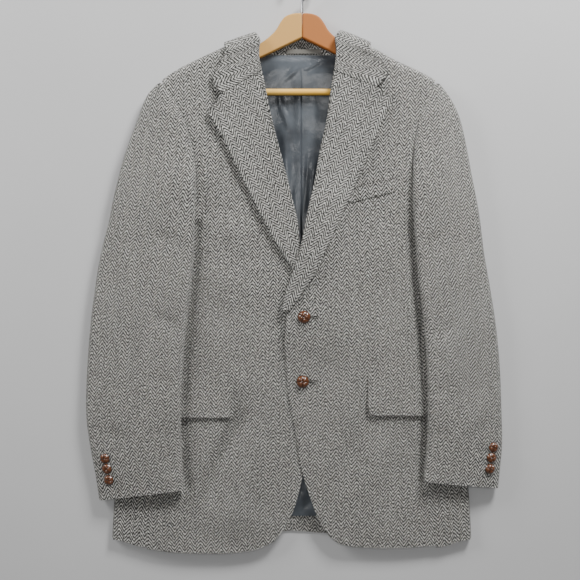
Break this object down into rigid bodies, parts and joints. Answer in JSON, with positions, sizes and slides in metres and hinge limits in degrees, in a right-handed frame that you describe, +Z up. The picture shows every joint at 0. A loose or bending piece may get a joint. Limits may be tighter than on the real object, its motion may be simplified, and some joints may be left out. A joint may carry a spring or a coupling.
{
  "type": "tweed jacket, laid flat with its wooden hanger",
  "caption": "Single-breasted herringbone tweed jacket with notch lapels and flap pockets, laid flat on a wooden trouser-bar hanger.",
  "frame": {"origin": "middle of the jacket's and hanger's box in plan, on the surface that the jacket lies on", "axes": "+X to the wearer's left (the viewer's right), +Y from the hem to the collar and the hook, +Z up from the surface"},
  "size_m": [0.64, 0.8954, 0.0407],
  "materials": {
    "tweed": "grey and off-white herringbone wool tweed, matt and slightly hairy",
    "satin": "dark grey satin lining, soft sheen",
    "leather": "brown plaited leather, satin",
    "wood_light": "light golden wood, clear lacquer",
    "wood_dark": "darker orange-brown wood with streaks, clear lacquer",
    "steel": "plain steel wire, lightly polished"
  },
  "bodies": {
    "root": {"back_left": "tweed", "back_right": "tweed", "breast_welt": "tweed", "button_cuff_left_1": "leather", "button_cuff_left_2": "leather", "button_cuff_left_3": "leather", "button_cuff_right_1": "leather", "button_cuff_right_2": "leather", "button_cuff_right_3": "leather", "button_front_lower": "leather", "button_front_upper": "leather", "collar": "tweed", "flap_left": "tweed", "flap_right": "tweed", "front_left": "tweed", "front_right": "tweed", "hanger_arm_left": "wood_dark", "hanger_arm_right": "wood_light", "hanger_bar": "wood_light", "hanger_hook": "steel", "hanger_loop": "satin", "lapel_left": "tweed", "lapel_right": "tweed", "lining_back": "satin", "side_left": "tweed", "side_right": "tweed", "sleeve_top_left": "tweed", "sleeve_top_right": "tweed", "sleeve_under_left": "tweed", "sleeve_under_right": "tweed"}
  },
  "joints": []
}
